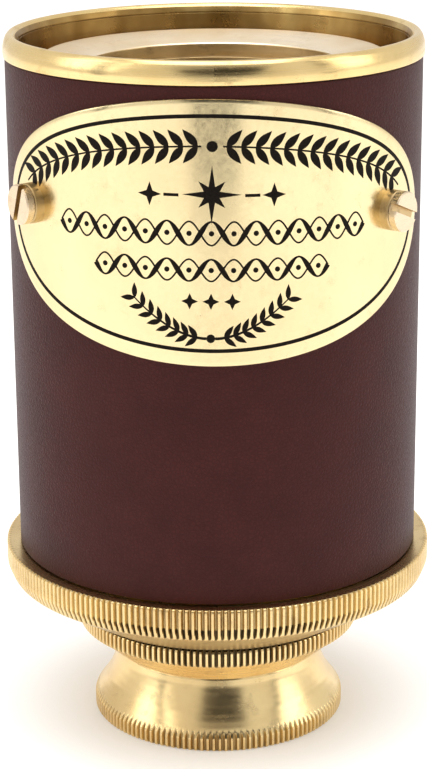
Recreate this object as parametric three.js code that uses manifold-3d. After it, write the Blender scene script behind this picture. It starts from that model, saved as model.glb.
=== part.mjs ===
// Small two-draw brass pocket telescope, collapsed and standing on its eyepiece cup.
// Millimetres, +Z up along the optical axis, origin at the centre of the cup's foot.
// The nameplate faces -Y. The draws pull out downwards, along -Z.
import * as THREE from 'three';
import Module from 'manifold-3d';
import { mergeVertices } from 'three/addons/utils/BufferGeometryUtils.js';

// ---------- driving dimensions ----------
const SEGMENTS = 36; // facets round every turned piece, equal so that nested pieces stay parallel
const SCREW_SEGMENTS = 16;
const RUNNING_GAP = 0.06; // radial gap of a sliding tube in its guide
const SEAT_GAP = 0.05; // gap left between pieces that touch

const BARREL_INNER_R = 23.4;
const BARREL_OUTER_R = 24.2;
const BARREL_BOTTOM_Z = 20.5;
const BARREL_TOP_Z = 86.0;
const LEATHER_R = 25.0;
const LEATHER_BOTTOM_Z = 23.5;
const LEATHER_TOP_Z = 84.4;

const HOOD_R = 25.2;
const HOOD_LIP_R = 23.7;
const HOOD_BOTTOM_Z = 84.5;
const HOOD_TOP_Z = 87.2;

const CELL_FLANGE_BOTTOM_Z = 77.0;
const CELL_FLANGE_TOP_Z = 80.0;
const CELL_BOSS_R = 20.5;
const CELL_TOP_Z = 84.4;
const CELL_DISH_Z = 83.25;
const CELL_BORE_R = 15.7;
const CELL_LIP_R = 14.2;
const CELL_BOTTOM_Z = 75.6;
const CELL_LIP_TOP_Z = 76.6;
const OBJECTIVE_R = 15.6;
const FLINT_BOTTOM_Z = 76.65;
const FLINT_TOP_Z = 78.85;
const CROWN_BOTTOM_Z = 78.95;
const CROWN_TOP_Z = 80.0;
const CROWN_INNER_RISE = 1.0; // the flint's hollow face takes the crown's swell
const CROWN_OUTER_RISE = 0.8;
const OBJECTIVE_RING_BORE_R = 14.0;
const OBJECTIVE_RING_TOP_Z = 81.7;

const END_RING_R = 26.75;
const END_RING_TOP_Z = 23.4;
const END_RING_KNURL_Z = 20.85;
const END_RING_TOOTH_R = 26.28; // where the teeth run out on the chamfer
const END_RING_TOOTH_Z = 19.65;
const END_RING_CHAMFER_R = 24.8;
const END_RING_CHAMFER_Z = 18.7;
const END_RING_BOTTOM_R = 18.15;
const END_RING_BOTTOM_Z = 14.55;
const END_RING_LAND_Z = 23.0; // inner step the barrel tube sits on
const END_RING_THROAT_R = 22.0;
const END_RING_SEAT_Z = 17.8;
const END_RING_FLOOR_Z = 15.2;
const THROAT_GAP = 0.2; // how far the end ring and the collar stand clear of the tube inside them
const RIM_BEVEL = 0.3;
const GUIDE_1_OUTER_R = 18.0;
const GUIDE_1_TOP_Z = 26.4;

const DRAW_1_INNER_R = 15.2;
const DRAW_1_OUTER_R = 16.0;
const DRAW_1_BOTTOM_Z = 12.95;
const DRAW_1_TOP_Z = 74.5;
const STOP_1_BOTTOM_Z = 71.5;
const STOP_1_R = 23.3;
const COLLAR_R = 17.8;
const COLLAR_TOP_Z = 14.25;
const COLLAR_KNURL_Z = 12.2;
const COLLAR_SEAT_Z = 13.6;
const COLLAR_FLOOR_Z = 9.2;
const COLLAR_BEVEL = 0.15;
const COLLAR_BOTTOM_R = 13.43;
const COLLAR_BOTTOM_Z = 8.6;
const GUIDE_2_OUTER_R = 12.95;
const GUIDE_2_TOP_Z = 21.9;

const DRAW_2_INNER_R = 10.8;
const DRAW_2_OUTER_R = 11.6;
const DRAW_2_BOTTOM_Z = 4.35;
const DRAW_2_TOP_Z = 70.0;
const STOP_2_BOTTOM_Z = 67.0;
const STOP_2_R = 15.1;
const CUP_R = 16.0;
const CUP_RIM_Z = 1.75;
const FLARE_LOW_R = 15.34; // three points down the hollow of the cup's flare
const FLARE_LOW_Z = 2.68;
const FLARE_MIDDLE_R = 14.22;
const FLARE_MIDDLE_Z = 4.36;
const FLARE_HIGH_R = 13.38;
const FLARE_HIGH_Z = 6.3;
const CUP_TOP_R = 12.75;
const CUP_TOP_Z = 8.45;
const CUP_DISH_R = 12.0;
const EYE_HOLE_R = 4.0;
const EYE_HOLE_Z = 2.2;
const CUP_FLOOR_Z = 3.0;

const OPTIC_TUBE_R = 10.7; // outside of the two inner lens tubes
const OPTIC_BORE_R = 9.6;
const OPTIC_R = 9.5; // lenses, rings and spacers inside them
const OPTIC_LIP_R = 8.5;
const SPACER_BORE_R = 8.8;
const OPTIC_RING_BORE_R = 8.4;
const STOP_HALF_HEIGHT = 0.4;
const EYEPIECE_BOTTOM_Z = 3.05;
const EYEPIECE_LIP_TOP_Z = 3.55;
const EYE_LENS_BOTTOM_Z = 3.6;
const EYE_LENS_TOP_Z = 4.4;
const EYE_LENS_RISE = 1.6;
const EYE_RING_INNER_Z = 4.85; // its bore starts above the swell of the lens below
const EYE_RING_BOTTOM_Z = 4.45;
const EYE_RING_TOP_Z = 7.5;
const FIELD_STOP_R = 5;
const FIELD_STOP_TOP_Z = 25.9;
const FIELD_LENS_BOTTOM_Z = 25.95;
const FIELD_LENS_TOP_Z = 26.6;
const FIELD_LENS_RISE = 1.4;
const FIELD_RING_INNER_Z = 27.05;
const FIELD_RING_BOTTOM_Z = 26.65;
const FIELD_RING_TOP_Z = 29;
const EYEPIECE_TOP_Z = 30.0;
const ERECTOR_BOTTOM_Z = 46.0;
const ERECTOR_LIP_TOP_Z = 47;
const ERECTOR_REAR_BOTTOM_Z = 47.05;
const ERECTOR_REAR_TOP_Z = 48;
const ERECTOR_LENS_RISE = 1.5;
const ERECTOR_STOP_R = 2.5;
const ERECTOR_SPACER_BOTTOM_Z = 48.4;
const ERECTOR_SPACER_TOP_Z = 62.6;
const ERECTOR_FRONT_BOTTOM_Z = 63;
const ERECTOR_FRONT_TOP_Z = 63.8;
const ERECTOR_RING_BOTTOM_Z = 63.85;
const ERECTOR_RING_TOP_Z = 65.5;
const ERECTOR_TOP_Z = 67.0;

const PLATE_INNER_R = 25.06;
const PLATE_OUTER_R = 25.56;
const PLATE_HALF_ARC = 30.45; // half-width measured round the barrel
const PLATE_HALF_HEIGHT = 15.2;
const PLATE_Z = 67.95;
const PLATE_SHIFT = -0.4; // the plate sits a little round to the left
const PLATE_TILT = THREE.MathUtils.degToRad(-0.85);
const PLATE_OUTLINE_STEPS = 48;

const SCREW_LEFT_ANGLE = THREE.MathUtils.degToRad(-55); // round the barrel from the front
const SCREW_RIGHT_ANGLE = THREE.MathUtils.degToRad(52.5);
const SCREW_LEFT_Z = 69.45;
const SCREW_RIGHT_Z = 68.5;
const SCREW_HEAD_R = 2.35;
const SCREW_SHANK_R = 1.2;
const SCREW_HOLE_R = 1.35;
const SCREW_TIP_R = 23.5; // distance from the barrel's axis
const WASHER_BOTTOM_R = 25.62;
const WASHER_TOP_R = 26.6;
const SCREW_TOP_R = 27.7;
const SLOT_WIDTH = 0.85;
const SLOT_DEPTH = 0.7;
const SLOT_TURN_LEFT = THREE.MathUtils.degToRad(-19);
const SLOT_TURN_RIGHT = THREE.MathUtils.degToRad(68);

// ---------- materials ----------
const LOOKS = {
  polished_brass: { color: 0xb8975a, roughness: 0.25, metalness: 1 },
  aged_brass: { color: 0x8a6f45, roughness: 0.45, metalness: 1 },
  blackened_brass: { color: 0x1d1a17, roughness: 0.8, metalness: 0.4 },
  leather: { color: 0x4b2826, roughness: 0.6, metalness: 0 },
  glass: { color: 0xdfe8e6, roughness: 0.05, metalness: 0 },
};

// ---------- helpers ----------
const wasm = await Module();
wasm.setup();

function bare(geometry) {
  const plain = geometry.clone();
  plain.deleteAttribute('normal');
  plain.deleteAttribute('uv');
  return mergeVertices(plain, 1e-4);
}

function toSolid(geometry) {
  const plain = bare(geometry);
  return new wasm.Manifold(
    new wasm.Mesh({
      numProp: 3,
      vertProperties: new Float32Array(plain.attributes.position.array),
      triVerts: new Uint32Array(plain.index.array),
    }),
  );
}

function toGeometry(solid) {
  const mesh = solid.getMesh();
  const geometry = new THREE.BufferGeometry();
  geometry.setAttribute('position', new THREE.BufferAttribute(mesh.vertProperties, 3));
  geometry.setIndex(new THREE.BufferAttribute(mesh.triVerts, 1));
  return geometry;
}

// A piece turned about +Z. The outline is a list of [radius, height] that either
// closes on itself or starts and ends on the axis, with the material on its left.
function turned(outline, segments = SEGMENTS) {
  const points = outline.map(([radius, height]) => new THREE.Vector2(radius, height));
  const onAxis = outline[0][0] === 0 && outline[outline.length - 1][0] === 0;
  if (!onAxis) {
    points.push(points[0].clone());
  }
  const geometry = new THREE.LatheGeometry(points, segments);
  geometry.rotateX(Math.PI / 2);
  return geometry;
}

function tube(innerR, outerR, bottomZ, topZ) {
  return turned([
    [innerR, bottomZ],
    [outerR, bottomZ],
    [outerR, topZ],
    [innerR, topZ],
  ]);
}

// A lens with its rim between two heights. A positive rise swells that face outwards.
function lens(radius, rimBottomZ, rimTopZ, bottomRise, topRise) {
  const shares = [0, 0.4, 0.75, 1];
  const bottom = shares.map((s) => [radius * s, rimBottomZ - bottomRise * (1 - s * s)]);
  const top = shares.map((s) => [radius * s, rimTopZ + topRise * (1 - s * s)]).reverse();
  return turned([...bottom, ...top]);
}

// Turns a piece built about +Z so that +Z points away from the barrel's axis.
function placeOnBarrel(geometry, angle, z) {
  geometry.rotateX(Math.PI / 2);
  geometry.rotateZ(angle);
  geometry.translate(0, 0, z);
  return geometry;
}

const telescope = new THREE.Group();
telescope.name = 'telescope';

function addPiece(name, look, geometry) {
  const mesh = new THREE.Mesh(geometry, new THREE.MeshStandardMaterial(LOOKS[look]));
  mesh.name = name;
  telescope.add(mesh);
}

// ---------- nameplate screws, washers and the holes they pass through ----------
function screw(angle, z, slotTurn) {
  const body = toSolid(
    turned(
      [
        [0, SCREW_TIP_R],
        [SCREW_SHANK_R, SCREW_TIP_R],
        [SCREW_SHANK_R, WASHER_TOP_R + SEAT_GAP],
        [SCREW_HEAD_R, WASHER_TOP_R + SEAT_GAP],
        [SCREW_HEAD_R, SCREW_TOP_R],
        [0, SCREW_TOP_R],
      ],
      SCREW_SEGMENTS,
    ),
  );
  const slot = new THREE.BoxGeometry(SLOT_WIDTH, 3 * SCREW_HEAD_R, 2 * SLOT_DEPTH);
  slot.rotateZ(slotTurn);
  slot.translate(0, 0, SCREW_TOP_R);
  return placeOnBarrel(toGeometry(body.subtract(toSolid(slot))), angle, z);
}

function washer(angle, z) {
  const ring = turned(
    [
      [SCREW_HOLE_R, WASHER_BOTTOM_R],
      [SCREW_HEAD_R, WASHER_BOTTOM_R],
      [SCREW_HEAD_R, WASHER_TOP_R],
      [SCREW_HOLE_R, WASHER_TOP_R],
    ],
    SCREW_SEGMENTS,
  );
  return placeOnBarrel(ring, angle, z);
}

function screwHole(angle, z) {
  const hole = turned(
    [
      [0, BARREL_INNER_R - 2],
      [SCREW_HOLE_R, BARREL_INNER_R - 2],
      [SCREW_HOLE_R, SCREW_TOP_R],
      [0, SCREW_TOP_R],
    ],
    SCREW_SEGMENTS,
  );
  return toSolid(placeOnBarrel(hole, angle, z));
}

const leftHole = screwHole(SCREW_LEFT_ANGLE, SCREW_LEFT_Z);
const rightHole = screwHole(SCREW_RIGHT_ANGLE, SCREW_RIGHT_Z);
const screwHoles = leftHole.add(rightHole);

function drilled(geometry) {
  return toGeometry(toSolid(geometry).subtract(screwHoles));
}

// ---------- barrel ----------
addPiece('barrel_tube', 'aged_brass', drilled(
  tube(BARREL_INNER_R, BARREL_OUTER_R, BARREL_BOTTOM_Z, BARREL_TOP_Z),
));
addPiece('leather_sleeve', 'leather', drilled(
  tube(BARREL_OUTER_R + SEAT_GAP, LEATHER_R, LEATHER_BOTTOM_Z, LEATHER_TOP_Z),
));
addPiece('hood_ring', 'polished_brass', turned([
  [BARREL_OUTER_R + SEAT_GAP, HOOD_BOTTOM_Z],
  [HOOD_R, HOOD_BOTTOM_Z],
  [HOOD_R, HOOD_TOP_Z - 0.5],
  [HOOD_R - 0.4, HOOD_TOP_Z],
  [HOOD_LIP_R + 0.6, HOOD_TOP_Z],
  [HOOD_LIP_R, HOOD_TOP_Z - 0.35],
  [HOOD_LIP_R, BARREL_TOP_Z + SEAT_GAP],
  [BARREL_OUTER_R + SEAT_GAP, BARREL_TOP_Z + SEAT_GAP],
]));
addPiece('objective_cell', 'aged_brass', turned([
  [CELL_LIP_R, CELL_BOTTOM_Z],
  [CELL_BOSS_R, CELL_BOTTOM_Z],
  [CELL_BOSS_R, CELL_FLANGE_BOTTOM_Z],
  [BARREL_INNER_R - SEAT_GAP, CELL_FLANGE_BOTTOM_Z],
  [BARREL_INNER_R - SEAT_GAP, CELL_FLANGE_TOP_Z],
  [CELL_BOSS_R, CELL_FLANGE_TOP_Z],
  [CELL_BOSS_R, CELL_TOP_Z],
  [CELL_BORE_R, CELL_DISH_Z],
  [CELL_BORE_R, CELL_LIP_TOP_Z],
  [CELL_LIP_R, CELL_LIP_TOP_Z],
]));
addPiece('objective_flint_lens', 'glass',
  lens(OBJECTIVE_R, FLINT_BOTTOM_Z, FLINT_TOP_Z, 0, -CROWN_INNER_RISE));
addPiece('objective_crown_lens', 'glass',
  lens(OBJECTIVE_R, CROWN_BOTTOM_Z, CROWN_TOP_Z, CROWN_INNER_RISE, CROWN_OUTER_RISE));
addPiece('objective_retaining_ring', 'blackened_brass', turned([
  [OBJECTIVE_RING_BORE_R, CROWN_TOP_Z + 0.35],
  [OBJECTIVE_R, CROWN_TOP_Z + SEAT_GAP],
  [OBJECTIVE_R, OBJECTIVE_RING_TOP_Z],
  [OBJECTIVE_RING_BORE_R, OBJECTIVE_RING_TOP_Z],
]));
addPiece('barrel_end_ring', 'polished_brass', turned([
  [DRAW_1_OUTER_R + THROAT_GAP, END_RING_BOTTOM_Z],
  [END_RING_BOTTOM_R, END_RING_BOTTOM_Z],
  [END_RING_CHAMFER_R, END_RING_CHAMFER_Z],
  [END_RING_TOOTH_R, END_RING_TOOTH_Z],
  [END_RING_R, END_RING_KNURL_Z],
  [END_RING_R, END_RING_TOP_Z - RIM_BEVEL],
  [END_RING_R - RIM_BEVEL, END_RING_TOP_Z],
  [BARREL_OUTER_R + SEAT_GAP, END_RING_TOP_Z],
  [BARREL_OUTER_R + SEAT_GAP, BARREL_BOTTOM_Z - SEAT_GAP],
  [BARREL_INNER_R - SEAT_GAP, BARREL_BOTTOM_Z - SEAT_GAP],
  [BARREL_INNER_R - SEAT_GAP, END_RING_LAND_Z],
  [END_RING_THROAT_R, END_RING_LAND_Z],
  [END_RING_THROAT_R, END_RING_SEAT_Z],
  [GUIDE_1_OUTER_R + SEAT_GAP, END_RING_SEAT_Z],
  [GUIDE_1_OUTER_R + SEAT_GAP, END_RING_FLOOR_Z],
  [DRAW_1_OUTER_R + THROAT_GAP, END_RING_FLOOR_Z],
]));
addPiece('barrel_guide_sleeve', 'aged_brass',
  tube(DRAW_1_OUTER_R + RUNNING_GAP, GUIDE_1_OUTER_R, END_RING_FLOOR_Z + SEAT_GAP, GUIDE_1_TOP_Z));

// The plate's outline is an oval drawn round the barrel and seen from the front.
function nameplate() {
  const outline = new THREE.Shape();
  for (let step = 0; step < PLATE_OUTLINE_STEPS; step += 1) {
    const turn = (2 * Math.PI * step) / PLATE_OUTLINE_STEPS;
    const arc = PLATE_HALF_ARC * Math.cos(turn);
    const rise = PLATE_HALF_HEIGHT * Math.sin(turn);
    const tiltedArc = PLATE_SHIFT + arc * Math.cos(PLATE_TILT) - rise * Math.sin(PLATE_TILT);
    const tiltedRise = arc * Math.sin(PLATE_TILT) + rise * Math.cos(PLATE_TILT);
    const x = PLATE_OUTER_R * Math.sin(tiltedArc / PLATE_OUTER_R);
    if (step === 0) {
      outline.moveTo(x, PLATE_Z + tiltedRise);
    } else {
      outline.lineTo(x, PLATE_Z + tiltedRise);
    }
  }
  outline.closePath();
  const front = new THREE.ExtrudeGeometry(outline, { depth: 2 * PLATE_OUTER_R, bevelEnabled: false });
  front.rotateX(Math.PI / 2);
  const band = tube(
    PLATE_INNER_R,
    PLATE_OUTER_R,
    PLATE_Z - 2 * PLATE_HALF_HEIGHT,
    PLATE_Z + 2 * PLATE_HALF_HEIGHT,
  );
  return toGeometry(toSolid(band).intersect(toSolid(front)).subtract(screwHoles));
}

addPiece('nameplate', 'polished_brass', nameplate());
addPiece('nameplate_washer_left', 'aged_brass', washer(SCREW_LEFT_ANGLE, SCREW_LEFT_Z));
addPiece('nameplate_washer_right', 'aged_brass', washer(SCREW_RIGHT_ANGLE, SCREW_RIGHT_Z));
addPiece('nameplate_screw_left', 'polished_brass',
  screw(SCREW_LEFT_ANGLE, SCREW_LEFT_Z, SLOT_TURN_LEFT));
addPiece('nameplate_screw_right', 'polished_brass',
  screw(SCREW_RIGHT_ANGLE, SCREW_RIGHT_Z, SLOT_TURN_RIGHT));

// ---------- first draw ----------
addPiece('draw_1_tube', 'polished_brass',
  tube(DRAW_1_INNER_R, DRAW_1_OUTER_R, DRAW_1_BOTTOM_Z, DRAW_1_TOP_Z));
addPiece('draw_1_stop_ring', 'blackened_brass',
  tube(DRAW_1_OUTER_R + SEAT_GAP, STOP_1_R, STOP_1_BOTTOM_Z, DRAW_1_TOP_Z));
addPiece('draw_1_collar', 'polished_brass', turned([
  [DRAW_2_OUTER_R + THROAT_GAP, COLLAR_BOTTOM_Z],
  [COLLAR_BOTTOM_R, COLLAR_BOTTOM_Z],
  [COLLAR_R - RIM_BEVEL, COLLAR_KNURL_Z],
  [COLLAR_R, COLLAR_KNURL_Z + COLLAR_BEVEL],
  [COLLAR_R, COLLAR_TOP_Z - COLLAR_BEVEL],
  [COLLAR_R - COLLAR_BEVEL, COLLAR_TOP_Z],
  [DRAW_1_OUTER_R + SEAT_GAP, COLLAR_TOP_Z],
  [DRAW_1_OUTER_R + SEAT_GAP, DRAW_1_BOTTOM_Z - SEAT_GAP],
  [DRAW_1_INNER_R - SEAT_GAP, DRAW_1_BOTTOM_Z - SEAT_GAP],
  [DRAW_1_INNER_R - SEAT_GAP, COLLAR_SEAT_Z],
  [GUIDE_2_OUTER_R + SEAT_GAP, COLLAR_SEAT_Z],
  [GUIDE_2_OUTER_R + SEAT_GAP, COLLAR_FLOOR_Z],
  [DRAW_2_OUTER_R + THROAT_GAP, COLLAR_FLOOR_Z],
]));
addPiece('draw_1_guide_sleeve', 'aged_brass',
  tube(DRAW_2_OUTER_R + RUNNING_GAP, GUIDE_2_OUTER_R, COLLAR_FLOOR_Z + SEAT_GAP, GUIDE_2_TOP_Z));

// ---------- second draw and eyepiece cup ----------
addPiece('draw_2_tube', 'polished_brass',
  tube(DRAW_2_INNER_R, DRAW_2_OUTER_R, DRAW_2_BOTTOM_Z, DRAW_2_TOP_Z));
addPiece('draw_2_stop_ring', 'blackened_brass',
  tube(DRAW_2_OUTER_R + SEAT_GAP, STOP_2_R, STOP_2_BOTTOM_Z, DRAW_2_TOP_Z));
addPiece('eyepiece_cup', 'polished_brass', turned([
  [CUP_DISH_R, 0],
  [CUP_R, 0],
  [CUP_R, CUP_RIM_Z],
  [FLARE_LOW_R, FLARE_LOW_Z],
  [FLARE_MIDDLE_R, FLARE_MIDDLE_Z],
  [FLARE_HIGH_R, FLARE_HIGH_Z],
  [CUP_TOP_R, CUP_TOP_Z],
  [DRAW_2_OUTER_R + SEAT_GAP, CUP_TOP_Z],
  [DRAW_2_OUTER_R + SEAT_GAP, DRAW_2_BOTTOM_Z - SEAT_GAP],
  [DRAW_2_INNER_R - SEAT_GAP, DRAW_2_BOTTOM_Z - SEAT_GAP],
  [DRAW_2_INNER_R - SEAT_GAP, CUP_FLOOR_Z],
  [EYE_HOLE_R, CUP_FLOOR_Z],
  [EYE_HOLE_R, EYE_HOLE_Z],
]));

// A lens tube with an inward lip at its lower end.
function lensTube(bottomZ, lipTopZ, topZ) {
  return turned([
    [OPTIC_LIP_R, bottomZ],
    [OPTIC_TUBE_R, bottomZ],
    [OPTIC_TUBE_R, topZ],
    [OPTIC_BORE_R, topZ],
    [OPTIC_BORE_R, lipTopZ],
    [OPTIC_LIP_R, lipTopZ],
  ]);
}

// A spacer between two lenses with a light stop half-way along it.
function stoppedSpacer(stopR, bottomZ, topZ) {
  const middleZ = (bottomZ + topZ) / 2;
  return turned([
    [SPACER_BORE_R, bottomZ],
    [OPTIC_R, bottomZ],
    [OPTIC_R, topZ],
    [SPACER_BORE_R, topZ],
    [SPACER_BORE_R, middleZ + STOP_HALF_HEIGHT],
    [stopR, middleZ + STOP_HALF_HEIGHT],
    [stopR, middleZ - STOP_HALF_HEIGHT],
    [SPACER_BORE_R, middleZ - STOP_HALF_HEIGHT],
  ]);
}

addPiece('eyepiece_cell', 'blackened_brass', lensTube(EYEPIECE_BOTTOM_Z, EYEPIECE_LIP_TOP_Z, EYEPIECE_TOP_Z));
addPiece('eye_lens', 'glass', lens(OPTIC_R, EYE_LENS_BOTTOM_Z, EYE_LENS_TOP_Z, 0, EYE_LENS_RISE));
addPiece('eye_lens_ring', 'blackened_brass', turned([
  [OPTIC_RING_BORE_R, EYE_RING_INNER_Z],
  [OPTIC_R, EYE_RING_BOTTOM_Z],
  [OPTIC_R, EYE_RING_TOP_Z],
  [OPTIC_RING_BORE_R, EYE_RING_TOP_Z],
]));
addPiece('field_stop', 'blackened_brass',
  stoppedSpacer(FIELD_STOP_R, EYE_RING_TOP_Z + SEAT_GAP, FIELD_STOP_TOP_Z));
addPiece('field_lens', 'glass',
  lens(OPTIC_R, FIELD_LENS_BOTTOM_Z, FIELD_LENS_TOP_Z, 0, FIELD_LENS_RISE));
addPiece('field_lens_ring', 'blackened_brass', turned([
  [OPTIC_RING_BORE_R, FIELD_RING_INNER_Z],
  [OPTIC_R, FIELD_RING_BOTTOM_Z],
  [OPTIC_R, FIELD_RING_TOP_Z],
  [OPTIC_RING_BORE_R, FIELD_RING_TOP_Z],
]));
addPiece('erector_cell', 'blackened_brass', lensTube(ERECTOR_BOTTOM_Z, ERECTOR_LIP_TOP_Z, ERECTOR_TOP_Z));
addPiece('erector_rear_lens', 'glass',
  lens(OPTIC_R, ERECTOR_REAR_BOTTOM_Z, ERECTOR_REAR_TOP_Z, 0, ERECTOR_LENS_RISE));
addPiece('erector_spacer', 'blackened_brass',
  stoppedSpacer(ERECTOR_STOP_R, ERECTOR_SPACER_BOTTOM_Z, ERECTOR_SPACER_TOP_Z));
addPiece('erector_front_lens', 'glass',
  lens(OPTIC_R, ERECTOR_FRONT_BOTTOM_Z, ERECTOR_FRONT_TOP_Z, ERECTOR_LENS_RISE, 0));
addPiece('erector_retaining_ring', 'blackened_brass',
  tube(OPTIC_RING_BORE_R, OPTIC_R, ERECTOR_RING_BOTTOM_Z, ERECTOR_RING_TOP_Z));

export default telescope;
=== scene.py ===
import math

import bmesh
import bpy
from mathutils import Matrix, Quaternion, Vector


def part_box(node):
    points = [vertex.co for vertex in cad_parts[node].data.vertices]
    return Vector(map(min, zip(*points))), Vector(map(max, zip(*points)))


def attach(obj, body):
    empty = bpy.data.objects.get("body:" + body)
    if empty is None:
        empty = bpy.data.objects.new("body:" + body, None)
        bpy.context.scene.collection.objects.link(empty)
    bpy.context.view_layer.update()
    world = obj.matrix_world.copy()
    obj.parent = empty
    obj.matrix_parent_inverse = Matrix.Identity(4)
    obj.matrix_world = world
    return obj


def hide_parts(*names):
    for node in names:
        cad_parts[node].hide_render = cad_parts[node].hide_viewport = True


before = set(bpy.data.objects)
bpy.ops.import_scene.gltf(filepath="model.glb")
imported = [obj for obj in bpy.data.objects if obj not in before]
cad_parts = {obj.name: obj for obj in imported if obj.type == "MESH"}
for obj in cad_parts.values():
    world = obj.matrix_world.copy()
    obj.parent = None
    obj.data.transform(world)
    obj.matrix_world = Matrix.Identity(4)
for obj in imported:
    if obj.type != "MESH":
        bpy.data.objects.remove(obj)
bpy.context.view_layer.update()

MM = 0.001
ROUND = 256  # columns round a plain turned piece
ANGLE_STRETCH = 0.0006  # metres of texture per radian, so that turned marks run round the piece

# ---------------------------------------------------------------- node helpers


class Nodes:
    """A small helper that adds and links shader nodes in one material."""

    def __init__(self, name):
        self.material = bpy.data.materials.new(name)
        self.material.use_nodes = True
        self.tree = self.material.node_tree
        self.bsdf = self.tree.nodes["Principled BSDF"]

    def add(self, kind, **inputs):
        node = self.tree.nodes.new(kind)
        for key, value in inputs.items():
            socket = node.inputs[key]
            if isinstance(value, bpy.types.NodeSocket):
                self.tree.links.new(value, socket)
            else:
                socket.default_value = value
        return node

    def math(self, operation, a, b=None, clamp=False):
        node = self.tree.nodes.new("ShaderNodeMath")
        node.operation = operation
        node.use_clamp = clamp
        for index, value in enumerate((a, b)):
            if value is None:
                continue
            if isinstance(value, bpy.types.NodeSocket):
                self.tree.links.new(value, node.inputs[index])
            else:
                node.inputs[index].default_value = value
        return node.outputs[0]

    def ramp(self, factor, *stops):
        node = self.tree.nodes.new("ShaderNodeValToRGB")
        self.tree.links.new(factor, node.inputs[0])
        elements = node.color_ramp.elements
        while len(elements) < len(stops):
            elements.new(0.5)
        for element, (position, colour) in zip(elements, stops):
            element.position = position
            element.color = (*colour, 1)
        return node.outputs[0]

    def grey_ramp(self, factor, *stops):
        return self.ramp(factor, *[(p, (g, g, g)) for p, g in stops])

    def noise(self, vector, scale, detail=3.0, roughness=0.55):
        return self.add(
            "ShaderNodeTexNoise",
            Vector=vector,
            Scale=scale,
            Detail=detail,
            Roughness=roughness,
        ).outputs[0]

    def bump(self, height, strength, distance, normal=None):
        node = self.add("ShaderNodeBump", Height=height, Strength=strength, Distance=distance)
        if normal is not None:
            self.tree.links.new(normal, node.inputs["Normal"])
        return node.outputs[0]

    def mix(self, factor, a, b, blend="MIX"):
        node = self.tree.nodes.new("ShaderNodeMix")
        node.data_type = "RGBA"
        node.blend_type = blend
        for socket, value in ((node.inputs[0], factor), (node.inputs[6], a), (node.inputs[7], b)):
            if isinstance(value, bpy.types.NodeSocket):
                self.tree.links.new(value, socket)
            else:
                socket.default_value = value
        return node.outputs[2]

    def set(self, **inputs):
        for key, value in inputs.items():
            socket = self.bsdf.inputs[key]
            if isinstance(value, bpy.types.NodeSocket):
                self.tree.links.new(value, socket)
            else:
                socket.default_value = value

    def coords(self):
        return self.add("ShaderNodeTexCoord").outputs["Object"]

    def turned_coords(self):
        """Coordinates that run round the barrel's axis: radius and height fine, angle slow."""
        parts = self.add("ShaderNodeSeparateXYZ", Vector=self.coords())
        x, y, z = parts.outputs
        radius = self.math("SQRT", self.math("ADD", self.math("MULTIPLY", x, x), self.math("MULTIPLY", y, y)))
        angle = self.math("MULTIPLY", self.math("ARCTAN2", x, y), ANGLE_STRETCH)
        joined = self.add("ShaderNodeCombineXYZ", X=radius, Y=angle, Z=z)
        return joined.outputs[0]


# ---------------------------------------------------------------- materials


def brass(name, light, dark, tarnish, rough=(0.16, 0.34), marks=0.12, spots=0.5, turned=True,
          dirt_and_shade_colour=(0.05, 0.03, 0.012)):
    """Turned brass: fine marks round the axis, drifting colour and dull spots.
    Dark tarnish mixed with painted shade lies where the darkening vertex attribute is set."""
    n = Nodes(name)
    where = n.coords()
    round_marks = n.turned_coords() if turned else where
    drift = n.noise(where, 90, 4)
    fine = n.noise(round_marks, 9000, 2, 0.7)
    broad = n.noise(round_marks, 1700, 3, 0.6)
    blotch = n.noise(where, 420, 5, 0.65)
    base = n.ramp(drift, (0.35, dark), (0.62, light))
    stain = n.grey_ramp(blotch, (0.56, 0.0), (0.74, spots))
    colour = n.mix(stain, base, (*tarnish, 1))
    # darkening from the vertex attribute: tarnish mixed with painted shade in grooves and under rings
    grime_and_shade = n.add("ShaderNodeAttribute")
    grime_and_shade.attribute_name = "grime_and_shade"
    dirt_and_shade = n.math("MULTIPLY", grime_and_shade.outputs["Fac"], n.grey_ramp(blotch, (0.2, 0.7), (0.7, 1.0)), True)
    colour = n.mix(dirt_and_shade, colour, (*dirt_and_shade_colour, 1))
    low, high = rough
    gloss = n.grey_ramp(broad, (0.3, low), (0.7, high))
    gloss = n.math("ADD", gloss, n.math("MULTIPLY", stain, 0.25))
    gloss = n.math("ADD", gloss, n.math("MULTIPLY", dirt_and_shade, 0.35), True)
    normal = n.bump(fine, marks, 0.00002)
    normal = n.bump(broad, marks * 0.4, 0.00004, normal)
    n.set(Metallic=1.0, Roughness=gloss, Normal=normal)
    n.tree.links.new(colour, n.bsdf.inputs["Base Color"])
    return n.material


POLISHED = brass(
    "polished_brass", (0.88, 0.67, 0.32), (0.77, 0.55, 0.23), (0.42, 0.27, 0.11), marks=0.08
)
# its near-black darkening colour stands for tarnish and painted shade in the knurls
KNURLED = brass(
    "knurled_brass", (0.87, 0.66, 0.33), (0.75, 0.53, 0.24), (0.40, 0.26, 0.11), (0.2, 0.26), 0.035, 0.4,
    dirt_and_shade_colour=(0.022, 0.013, 0.007)
)
AGED = brass(
    "aged_brass", (0.62, 0.45, 0.23), (0.42, 0.29, 0.13), (0.20, 0.13, 0.06), (0.3, 0.5), 0.3, 0.7
)
DRAWN = brass(
    "drawn_tube_brass", (0.84, 0.63, 0.31), (0.74, 0.52, 0.24), (0.46, 0.3, 0.13), (0.14, 0.26), 0.06, 0.3
)
PLATE = brass(
    "plate_brass", (0.84, 0.70, 0.40), (0.80, 0.64, 0.36), (0.62, 0.46, 0.24), (0.17, 0.27), 0.03, 0.3, False
)


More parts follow.
